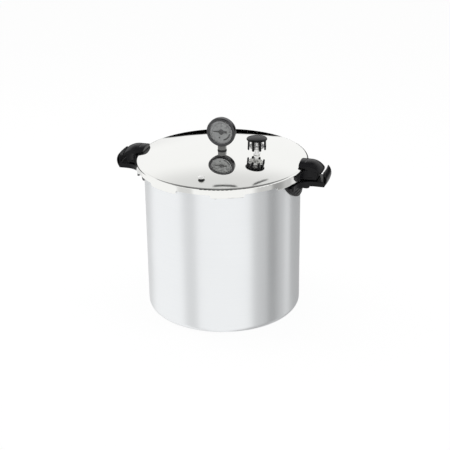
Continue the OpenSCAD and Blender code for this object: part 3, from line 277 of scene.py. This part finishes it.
def tint(tree, value, dark, pale):
    """A colour between two, by a value between 0 and 1."""
    made = tree.nodes.new("ShaderNodeMix")
    made.data_type = "RGBA"
    tree.links.new(value, made.inputs["Factor"])
    made.inputs["A"].default_value = (*dark, 1)
    made.inputs["B"].default_value = (*pale, 1)
    return made.outputs["Result"]


def press(tree, shader, value, strength, depth):
    """Raises a surface by depth metres where value is 1, at a share of its full effect."""
    made = put(tree, "ShaderNodeBump", Strength=strength, Distance=depth, Height=value)
    tree.links.new(made.outputs["Normal"], shader.inputs["Normal"])
    return made


def vary(tree, shader, tones, rough, bump=None):
    """Varies a shader over its surface. tones is (value, dark, pale) for its colour, rough is
    (value, low, high, rough at low, rough at high), and bump is (height, share, depth)."""
    tree.links.new(tint(tree, *tones), shader.inputs["Base Color"])
    tree.links.new(ramp(tree, *rough), shader.inputs["Roughness"])
    if bump:
        press(tree, shader, *bump)


satin, tree, shader, spot = finish_of("satin_aluminium", (0.86, 0.865, 0.87), 1, 0.3,
                                      Anisotropic=0.75, Anisotropic_Rotation=0.25)
lines = stretched(tree, spot, (5, 5, 1100), 3, 0.6)
cloud = grain(tree, spot, 9, 2)
line_tone = ramp(tree, lines, 0.3, 0.7)
line_rough = ramp(tree, lines, 0.3, 0.7, -0.003, 0.003)
cloud_rough = ramp(tree, cloud, 0.3, 0.7, 0.28, 0.31)
tree.links.new(tint(tree, line_tone, (0.868, 0.885, 0.896), (0.882, 0.898, 0.910)),
               shader.inputs["Base Color"])
tree.links.new(sums(tree, "ADD", cloud_rough, line_rough), shader.inputs["Roughness"])
press(tree, shader, cloud, 0.04, 0.0001)
round_z = put(tree, "ShaderNodeTangent")
round_z.direction_type = "RADIAL"
round_z.axis = "Z"
tree.links.new(round_z.outputs[0], shader.inputs["Tangent"])


def dress(material, *names):
    """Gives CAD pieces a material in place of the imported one."""
    for name in names:
        mesh = parts[name].data
        mesh.materials.clear()
        mesh.materials.append(material)


dress(satin, "canner_body")


# ---- Moulded handles ---------------------------------------------------------------------
# Black phenolic mouldings: the wings and trays on the pot, and the arched grips on the cover.
# Each is pressed in a polished mould, so its faces are glossy and its edges softly rounded.
phenolic, tree, shader, spot = finish_of("black_phenolic", (0.006, 0.006, 0.007), 0, 0.22,
                                         IOR=1.5, Specular_IOR_Level=0.16)
vary(tree, shader, (grain(tree, spot, 60, 3), (0.004, 0.004, 0.005), (0.009, 0.009, 0.010)),
     (grain(tree, spot, 35, 4), 0.3, 0.7, 0.19, 0.30), (grain(tree, spot, 1400, 2), 0.12, 0.00004))
MOULD_CELL, MOULD_PASSES, WELD = 0.0008, 6, 1e-6
SMOOTH_STEPS = (0.6, -0.5)


def baked_mesh(holder):
    """The mesh of an object with its modifiers or its curve worked out; the object is removed."""
    bpy.context.collection.objects.link(holder)
    ready = holder.evaluated_get(bpy.context.evaluated_depsgraph_get())
    mesh = bpy.data.meshes.new_from_object(ready)
    bpy.data.objects.remove(holder)
    return mesh


def points_of(mesh):
    """A mesh's points as rows of x, y and z."""
    points = np.empty(len(mesh.vertices) * 3)
    mesh.vertices.foreach_get("co", points)
    return points.reshape(-1, 3)


def neighbour_sum(p, q, values, size):
    """For each point, the sum of a value over the points that the edges p-q join it to."""
    return np.bincount(p, values[q], size) + np.bincount(q, values[p], size)


def moulded(name, body):
    """A copy of a moulded solid with its edges rounded. Its triangles are welded and rebuilt as
    an even grid of side MOULD_CELL. Then every point goes to the mean of its neighbours and a
    little back again, MOULD_PASSES times: p' = p + a (mean(p) - p), with a from SMOOTH_STEPS."""
    raw = bpy.data.meshes.new(name + "_raw")
    welded = bmesh.new()
    welded.from_mesh(parts[name].data)
    bmesh.ops.remove_doubles(welded, verts=welded.verts, dist=WELD)
    welded.to_mesh(raw)
    welded.free()
    holder = bpy.data.objects.new(name + "_raw", raw)
    grid = holder.modifiers.new("grid", "REMESH")
    grid.mode = "VOXEL"
    grid.voxel_size = MOULD_CELL
    shape = baked_mesh(holder)
    points = points_of(shape)
    size = len(points)
    pairs = np.empty(len(shape.edges) * 2, dtype=np.int64)
    shape.edges.foreach_get("vertices", pairs)
    p, q = pairs.reshape(-1, 2).T
    count = np.bincount(np.concatenate((p, q)), minlength=size)[:, None]
    for _ in range(MOULD_PASSES):
        for share in SMOOTH_STEPS:
            total = np.stack([neighbour_sum(p, q, points[:, k], size) for k in range(3)], 1)
            points = points + share * (total / count - points)
    shape.vertices.foreach_set("co", points.ravel())
    shape.shade_smooth()
    shape.materials.clear()
    shape.materials.append(phenolic)
    shape.name = name + "_moulding"
    piece = bpy.data.objects.new(name + "_moulding", shape)
    bpy.context.collection.objects.link(piece)
    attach(piece, body)
    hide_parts(name)


for side in ("left", "right"):
    moulded("body_handle_" + side, "pot")
for side in ("left", "right"):
    moulded("cover_handle_" + side, "cover")


# ---- Steelwork ---------------------------------------------------------------------------
# Zinc-plated brackets, screws and nuts that hold the handles, the lock and the fittings.
# Plating is a dull grey with a fine crystal mottle.
zinc, tree, shader, spot = finish_of("zinc_plate", (0.66, 0.66, 0.65), 1, 0.36)
spangle = put(tree, "ShaderNodeTexVoronoi", Vector=spot, Scale=420.0).outputs["Color"]
tone = put(tree, "ShaderNodeSeparateColor", Color=spangle).outputs[0]
vary(tree, shader, (tone, (0.58, 0.58, 0.57), (0.70, 0.70, 0.69)),
     (grain(tree, spot, 240, 3), 0.2, 0.8, 0.28, 0.46), (grain(tree, spot, 2200, 2), 0.15, 0.00004))
dress(zinc, "body_bracket_left", "body_bracket_right", "body_handle_screws", "lock_bracket",
      "lock_bracket_screw", "lock_bracket_nut", "cover_bracket_left", "cover_bracket_right",
      "cover_handle_screws", "vent_pipe_nut", "gauge_nut")


# ---- Rack --------------------------------------------------------------------------------
# A pressed sheet of aluminium with rings of holes, left with the grain of the rolling mill.
mill, tree, shader, spot = finish_of("mill_aluminium", (0.78, 0.78, 0.78), 1, 0.38)
rolled = stretched(tree, spot, (25, 2200, 300), 3)
vary(tree, shader, (rolled, (0.70, 0.70, 0.705), (0.83, 0.83, 0.83)),
     (rolled, 0.2, 0.8, 0.30, 0.48), (rolled, 0.2, 0.00003))
dress(mill, "canning_rack")


# ---- Cover -------------------------------------------------------------------------------
# A pressed dome with a turned-down skirt and inward lugs, buffed to a mirror. The sheet is
# very slightly wavy, and the buff leaves hair-fine rings.
def rings_round_z(tree, spot, lines, coarse=4):
    """Coordinates squeezed so that noise on them runs in rings round the Z axis: x and y stay
    coarse, and the distance from the axis plus the height becomes `lines` cycles a metre."""
    x, y, z = put(tree, "ShaderNodeSeparateXYZ", Vector=spot).outputs
    far = sums(tree, "SQRT", sums(tree, "ADD", times(tree, x, x), times(tree, y, y)))
    ring = times(tree, sums(tree, "ADD", far, z), lines)
    return put(tree, "ShaderNodeCombineXYZ", X=times(tree, x, coarse), Y=times(tree, y, coarse),
               Z=ring).outputs[0]


mirror, tree, shader, spot = finish_of("buffed_aluminium", (0.90, 0.90, 0.885), 1, 0.04)
buff = grain(tree, rings_round_z(tree, spot, 1500), 1.0, 2)
vary(tree, shader, (grain(tree, spot, 6, 2), (0.885, 0.887, 0.865), (0.912, 0.914, 0.892)),
     (buff, 0.3, 0.8, 0.02, 0.055))
fine = press(tree, shader, buff, 0.1, 0.00001)
soft = put(tree, "ShaderNodeBump", Strength=0.6, Distance=0.00015, Height=grain(tree, spot, 14, 1))
tree.links.new(soft.outputs["Normal"], fine.inputs["Normal"])
dress(mirror, "cover")


# ---- Rubber ------------------------------------------------------------------------------
# Moulded black rubber: the sealing ring in the skirt, the overpressure plug, and the small
# gaskets. Matt, with a dusty bloom in soft patches.
rubber, tree, shader, spot = finish_of("black_rubber", (0.03, 0.03, 0.03), 0, 0.6)
bloom = grain(tree, spot, 90, 4)
vary(tree, shader, (bloom, (0.018, 0.018, 0.018), (0.05, 0.05, 0.052)),
     (bloom, 0.2, 0.8, 0.5, 0.72), (grain(tree, spot, 1100, 3), 0.2, 0.00005))
dress(rubber, "sealing_ring", "overpressure_plug", "air_vent_grommet", "gauge_gasket")


# ---- Vent pipe, regulator and air vent ---------------------------------------------------
# Bright turned metal: the pipe, and in a paler alloy the regulator's weight and the vent pin.
# The regulator's cap and its eight legs are one black moulding pressed over the weight.
bright, tree, shader, spot = finish_of("turned_bright", (0.85, 0.85, 0.85), 1, 0.14)
tool_marks = stretched(tree, spot, (60, 60, 5200), 2)
vary(tree, shader, (tool_marks, (0.80, 0.80, 0.80), (0.90, 0.90, 0.895)),
     (tool_marks, 0.2, 0.8, 0.10, 0.22), (tool_marks, 0.15, 0.00002))
dress(bright, "vent_pipe")


def mottled(name, colour, metallic, roughness, tones, rough, bump=None):
    """A finish whose colour, roughness and relief each follow a soft noise of their own. tones is
    (scale, detail, dark, pale), rough is (scale, detail, smooth, dull), and bump is
    (scale, detail, share, depth in metres)."""
    made, tree, shader, spot = finish_of(name, colour, metallic, roughness)
    vary(tree, shader, (grain(tree, spot, *tones[:2]), *tones[2:]),
         (grain(tree, spot, *rough[:2]), 0.2, 0.8, *rough[2:]),
         bump and (grain(tree, spot, *bump[:2]), *bump[2:]))
    return made


pale = mottled("pin_alloy", (0.86, 0.86, 0.85), 0.55, 0.3,
               tones=(300, 3, (0.82, 0.82, 0.81), (0.90, 0.90, 0.89)),
               rough=(700, 2, 0.24, 0.38), bump=(1800, 2, 0.1, 0.00002))
dress(pale, "air_vent_pin")

cap_low, cap_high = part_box("regulator_cap")
weight_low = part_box("regulator_weight")[0]
cap_middle = np.array(((cap_low.x + cap_high.x) / 2, (cap_low.y + cap_high.y) / 2))
cap_r, cap_thick = 0.02, 0.0048
cap_under = cap_high.z - cap_thick
LEG_WIDE, LEG_THICK, LEG_LEAN, LEG_INSET = 0.0048, 0.0028, 0.0008, 0.0034
LEG_ROOT, LEG_REACH, FOOT_START, FOOT_RUN = 0.001, 0.0025, 0.88, 0.125
LEG_COUNT, FIRST_LEG, LEG_STEP = 8, 36, 45
CREASE = math.radians(38)


def turned(profile, middle, steps=96):
    """A profile of (r, z) points carried round a vertical axis through middle:
    (x, y, z) = (mx + r cos a, my + r sin a, z). The profile is closed on itself, or starts and
    ends on the axis; it runs anticlockwise in (r, z)."""
    profile = np.asarray(profile, float)
    on_axis = profile[0, 0] == 0
    ring = profile[1:-1] if on_axis else profile
    a = np.linspace(0, 2 * np.pi, steps, endpoint=False)
    x = middle[0] + np.outer(ring[:, 0], np.cos(a))
    y = middle[1] + np.outer(ring[:, 0], np.sin(a))
    points = np.stack((x, y, np.repeat(ring[:, 1:], steps, 1)), -1).reshape(-1, 3)
    m, k = len(ring), np.arange(steps)
    after = (k + 1) % steps
    rows = np.arange(m - 1 if on_axis else m)
    low, high = (rows * steps)[:, None], ((rows + 1) % m * steps)[:, None]
    faces = np.stack((low + k, low + after, high + after, high + k), -1).reshape(-1, 4).tolist()
    if on_axis:
        first, last = np.full(steps, m * steps), np.full(steps, m * steps + 1)
        top_ring = (m - 1) * steps
        ends = np.array([(*middle, profile[0, 1]), (*middle, profile[-1, 1])])
        points = np.concatenate((points, ends))
        faces += np.stack((first, after, k), -1).tolist()
        faces += np.stack((last, top_ring + k, top_ring + after), -1).tolist()
    return points, faces


def tube_faces(rings, n, flipped=False):
    """Quads joining each ring of n points to the next; flipped turns their outsides about."""
    k = np.arange(n)
    after = (k + 1) % n
    walls = []
    for low in range(0, (rings - 1) * n, n):
        high = low + n
        quad = (low + k, low + after, high + after, high + k)
        walls.append(np.stack((quad[0], *quad[:0:-1]) if flipped else quad, -1))
    return np.concatenate(walls).tolist()


def squared(t):
    """sign(t) |t|^0.5, which turns the sine and cosine of a circle into those of a soft square."""
    return np.sign(t) * np.abs(t) ** 0.5


def leg(angle):
    """One leg of the cap. A rounded-square section is swept from inside the cap to the foot:
    p(u, v) = axis(u) + s(u) (out f(sin v) LEG_THICK/2 - across f(cos v) LEG_WIDE/2), where f is
    squared. The axis leans outwards by LEG_LEAN, and s(u) rounds the foot off."""
    top, foot = cap_under + LEG_ROOT, cap_low.z - LEG_REACH
    drop = np.append(np.linspace(0, 0.9, 7), (0.93, 0.96, 0.98, 0.995))
    tip = np.clip((drop - FOOT_START) / FOOT_RUN, 0, 1)
    swell = np.sqrt(np.clip(1 - tip ** 2, 0.05, 1))
    v = np.linspace(0, 2 * np.pi, 16, endpoint=False)
    out = np.array((np.cos(angle), np.sin(angle)))
    across = np.array((-out[1], out[0]))
    radius = cap_r - LEG_INSET + LEG_LEAN * drop
    section = ((squared(np.sin(v)) * LEG_THICK / 2)[None, :, None] * out
               - (squared(np.cos(v)) * LEG_WIDE / 2)[None, :, None] * across)
    plan = radius[:, None, None] * out + swell[:, None, None] * section
    z = np.repeat((top + (foot - top) * drop)[:, None], len(v), 1)
    points = np.concatenate((plan + cap_middle, z[:, :, None]), -1).reshape(-1, 3)
    m, n, k = len(drop), len(v), np.arange(len(v))
    return points, tube_faces(m, n) + [list(k[::-1]), list(k + (m - 1) * n)]


def joined(name, shells, material, body, slot_name, *replaced):
    """One smooth object at the origin from several closed shells. It stands for the CAD nodes
    named last, if any are."""
    points, faces, first = [], [], 0
    for some_points, some_faces in shells:
        points.append(some_points)
        faces += [[first + k for k in face] for face in some_faces]
        first += len(some_points)
    mesh = bpy.data.meshes.new(name)
    mesh.from_pydata(np.concatenate(points), [], faces)
    mesh.shade_smooth()
    mesh.set_sharp_from_angle(angle=CREASE)
    mesh.materials.append(material)
    made = bpy.data.objects.new(name, mesh)
    bpy.context.collection.objects.link(made)
    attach(made, body)
    if replaced:
        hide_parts(*replaced)


# The cap's profile: a rounded rim, and a crown that domes up from it to the middle.
cap_round, rim_end, crown_start, crown_power = 0.0014, 62, 0.95, 2.2
rim = np.radians(np.linspace(-90, rim_end, 13))
edge = np.stack((cap_r - cap_round + cap_round * np.cos(rim),
                 cap_under + cap_round + cap_round * np.sin(rim)), -1)
crown = np.linspace(crown_start, 0, 9)[:-1]
crown_rise = cap_high.z - edge[-1, 1]
top_face = np.stack((cap_r * crown, cap_high.z - crown_rise * crown ** crown_power), -1)
cap_shape = np.concatenate(([(0, cap_under)], edge, top_face[1:], [(0, cap_high.z)]))
legs = [leg(math.radians(FIRST_LEG + LEG_STEP * k)) for k in range(LEG_COUNT)]
joined("regulator_cap_and_legs", [turned(cap_shape, cap_middle)] + legs,
       phenolic, "regulator", "phenolic", "regulator_cap")

# The weight's foot is a wide flange, and a plain neck goes up into the cap.
weight_r, weight_bore, neck_r = 0.0138, 0.0052, 0.0104
foot_z, neck_z = weight_low.z - 0.002, cap_under + 0.0002
weight_shape = [
    (weight_bore, foot_z), (weight_r - 0.0012, foot_z), (weight_r - 0.0003, foot_z + 0.0004),
    (weight_r, foot_z + 0.0012), (weight_r, foot_z + 0.005), (weight_r - 0.0004, foot_z + 0.0056),
    (weight_r - 0.003, foot_z + 0.0066), (neck_r, foot_z + 0.0075), (neck_r, neck_z),
    (weight_bore, neck_z)]
joined("regulator_weight_turned", [turned(weight_shape, cap_middle)],
       pale, "regulator", "bright", "regulator_weight")


# ---- Gauge stem, case and bezel ----------------------------------------------------------
# A hexagon stem carries the gauge: a black enamelled steel case, closed by a darkened steel
# bezel that holds the glass.
enamel = mottled("black_enamel", (0.03, 0.03, 0.034), 0, 0.25,
                 tones=(120, 3, (0.02, 0.02, 0.024), (0.045, 0.045, 0.05)),
                 rough=(300, 2, 0.2, 0.34), bump=(700, 2, 0.15, 0.00006))
dress(enamel, "gauge_case")
dark_steel = mottled("darkened_steel", (0.14, 0.14, 0.145), 1, 0.2,
                     tones=(180, 3, (0.06, 0.06, 0.063), (0.1, 0.1, 0.104)),
                     rough=(500, 2, 0.14, 0.26), bump=(900, 2, 0.1, 0.00003))
dress(dark_steel, "gauge_bezel")
stem_metal = mottled("stem_steel", (0.28, 0.28, 0.28), 1, 0.28,
                     tones=(250, 3, (0.13, 0.13, 0.13), (0.22, 0.22, 0.217)),
                     rough=(420, 3, 0.2, 0.38), bump=(1500, 2, 0.15, 0.00003))
dress(stem_metal, "gauge_stem")


# ---- Lens --------------------------------------------------------------------------------
# A flat disc of clear glass sprung into the bezel, with the faintest haze of handling.
glass, tree, shader, spot = finish_of("gauge_glass", (0.97, 0.98, 0.98), 0, 0.02,
                                      IOR=1.46, Transmission_Weight=1.0)
tree.links.new(ramp(tree, grain(tree, spot, 200, 3), 0.45, 0.8, 0.0, 0.05),
               shader.inputs["Roughness"])
clear = put(tree, "ShaderNodeBsdfTransparent", Color=(0.95, 0.96, 0.96, 1))
in_shadow = put(tree, "ShaderNodeLightPath").outputs["Is Shadow Ray"]
lit = put(tree, "ShaderNodeMixShader", Fac=in_shadow)
tree.links.new(shader.outputs[0], lit.inputs[1])
tree.links.new(clear.outputs[0], lit.inputs[2])
surface = next(n for n in tree.nodes if n.type == "OUTPUT_MATERIAL").inputs["Surface"]
tree.links.new(lit.outputs[0], surface)
dress(glass, "gauge_lens")


# ---- Dial and pointer --------------------------------------------------------------------
# A pale grey enamelled disc. Its scale, end band, dot and figures are printed on it in black:
# thin layers laid on the disc's face. The pointer and its hub are black too.
dial_paint = mottled("dial_grey", (0.46, 0.46, 0.46), 0, 0.45,
                     tones=(160, 4, (0.42, 0.42, 0.425), (0.5, 0.5, 0.495)),
                     rough=(400, 2, 0.38, 0.55))
dress(dial_paint, "gauge_dial")
ink = mottled("printed_black", (0.015, 0.015, 0.016), 0, 0.4,
              tones=(900, 3, (0.010, 0.010, 0.011), (0.028, 0.028, 0.03)),
              rough=(500, 2, 0.34, 0.5))
dial_low, dial_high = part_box("gauge_dial")
dial_middle = (dial_low + dial_high) / 2
ink_front, ink_back = dial_low.y - 0.00006, dial_low.y + 0.00004


def polar(radius, angle):
    """Points on the dial's plane: radius (cos a, sin a), with a in degrees from +X towards +Z."""
    a = np.radians(angle)
    return np.stack((radius * np.cos(a), radius * np.sin(a)), -1)


def plate(outline, front, back):
    """A closed slab: a flat outline (x, z), anticlockwise from the front, drawn out from
    y = back to y = front."""
    n = len(outline)
    points = np.empty((2 * n, 3))
    points[:, 0] = np.tile(outline[:, 0], 2) + dial_middle.x
    points[:, 2] = np.tile(outline[:, 1], 2) + dial_middle.z
    points[:n, 1] = front
    points[n:, 1] = back
    i = np.arange(n)
    j = (i + 1) % n
    sides = np.stack((i, i + n, j + n, j), -1)
    return points, [list(i), list(i[::-1] + n)] + sides.tolist()


def mark(angle, inner, outer, wide):
    """A printed stroke on the dial along a radius, as four corners."""
    along = polar(1, angle)
    across = np.array((-along[1], along[0])) * wide / 2
    return np.stack((along * inner - across, along * outer - across,
                     along * outer + across, along * inner + across))


def numeral(text, angle, radius, size):
    """Printed figures centred on the dial at a radius and angle, as a mesh's points and faces."""
    curve = bpy.data.curves.new("figure", "FONT")
    curve.body, curve.size, curve.extrude = text, size, (ink_back - ink_front) / 2
    curve.align_x, curve.align_y = "CENTER", "CENTER"
    curve.resolution_u = 3
    mesh = baked_mesh(bpy.data.objects.new("figure", curve))
    points = points_of(mesh)
    at = polar(radius, angle)
    x = points[:, 0] + at[0] + dial_middle.x
    y = (ink_front + ink_back) / 2 - points[:, 2]
    z = points[:, 1] + at[1] + dial_middle.z
    return np.stack((x, y, z), -1), [list(face.vertices) for face in mesh.polygons]


scale_r, zero_at, unit_turn, units, units_a_figure = 0.0182, 180, 9, 20, 5
long_mark, short_mark = (0.0036, 0.0011), (0.0021, 0.0006)
band_ends, band_points, band_wide = (-10, -76), 34, 0.0026
dot_r, dot_out, dot_at = 0.0018, 0.0128, -107
figure_out, figure_size = 0.0118, 0.0048

printing = []
for value in range(units + 1):
    length, wide = short_mark if value % units_a_figure else long_mark
    printing.append(mark(zero_at - unit_turn * value, scale_r - length, scale_r, wide))
band = np.linspace(*band_ends, band_points)
printing.append(np.concatenate((polar(scale_r - band_wide, band), polar(scale_r, band[::-1]))))
printing.append(polar(dot_r, np.linspace(0, 345, 24)) + polar(dot_out, dot_at))
plates = [plate(outline, ink_front, ink_back) for outline in printing]
for value in range(units_a_figure, units, units_a_figure):
    plates.append(numeral(str(value), zero_at - unit_turn * value, figure_out, figure_size))
joined("dial_print", plates, ink, "cover", "pointer")

# The pointer's outline from its tip on the left to its broad tail, and its domed hub.
blade = np.array(((-0.0172, 0), (-0.015, -0.001), (0, -0.002), (0.0085, -0.0018),
                  (0.011, -0.0024), (0.0116, 0), (0.011, 0.0024), (0.0085, 0.0018),
                  (0, 0.002), (-0.015, 0.001)))
pointer_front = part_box("gauge_pointer")[0].y
blade_front, blade_back = pointer_front + 0.0005, pointer_front + 0.001
hub_r, hub_rise, hub_sunk = 0.0054, 0.0008, 0.00002


def hub_cap():
    """The pointer's boss: rings of radius hub_r sin(u) at y = blade_front - hub_rise cos(u), u
    from 0 at the tip to 90 degrees at the rim, closed by a flat face sunk into the blade."""
    u = np.radians(np.linspace(0, 90, 9))[1:]
    a = np.radians(np.arange(0, 360, 7.5))
    m, n, k = len(u) + 1, len(a), np.arange(len(a))
    after = (k + 1) % n
    radii = np.append(hub_r * np.sin(u), hub_r)
    depths = np.append(blade_front - hub_rise * np.cos(u), blade_front + hub_sunk)
    x = np.outer(radii, np.cos(a)) + dial_middle.x
    z = np.outer(radii, np.sin(a)) + dial_middle.z
    rings = np.stack((x, np.repeat(depths[:, None], n, 1), z), -1).reshape(-1, 3)
    ends = np.array([(dial_middle.x, y, dial_middle.z)
                     for y in (blade_front - hub_rise, blade_front + hub_sunk)])
    front = np.stack((np.full(n, m * n), k, after), -1)
    rear = np.stack((np.full(n, m * n + 1), (m - 1) * n + after, (m - 1) * n + k), -1)
    faces = tube_faces(m, n, flipped=True) + front.tolist() + rear.tolist()
    return np.concatenate((rings, ends)), faces


joined("pointer_and_hub", [plate(blade, blade_front, blade_back), hub_cap()],
       ink, "pointer", "pointer", "gauge_pointer")


# ---- Gauge movement ----------------------------------------------------------------------
# Machined brass plates, pillars, gears and link, and the drawn bronze tube that moves them.
brass, tree, shader, spot = finish_of("machined_brass", (0.72, 0.55, 0.25), 1, 0.24)
milled = stretched(tree, spot, (300, 300, 4200), 2)
vary(tree, shader, (milled, (0.64, 0.47, 0.20), (0.78, 0.61, 0.30)),
     (milled, 0.2, 0.8, 0.18, 0.34))
dress(brass, "movement_front_plate", "movement_back_plate", "movement_pillars", "pinion",
      "sector_gear", "gauge_link")
bronze = mottled("drawn_bronze", (0.70, 0.42, 0.24), 1, 0.26,
                 tones=(260, 3, (0.60, 0.34, 0.18), (0.76, 0.50, 0.30)),
                 rough=(500, 2, 0.18, 0.36))
dress(bronze, "bourdon_tube")
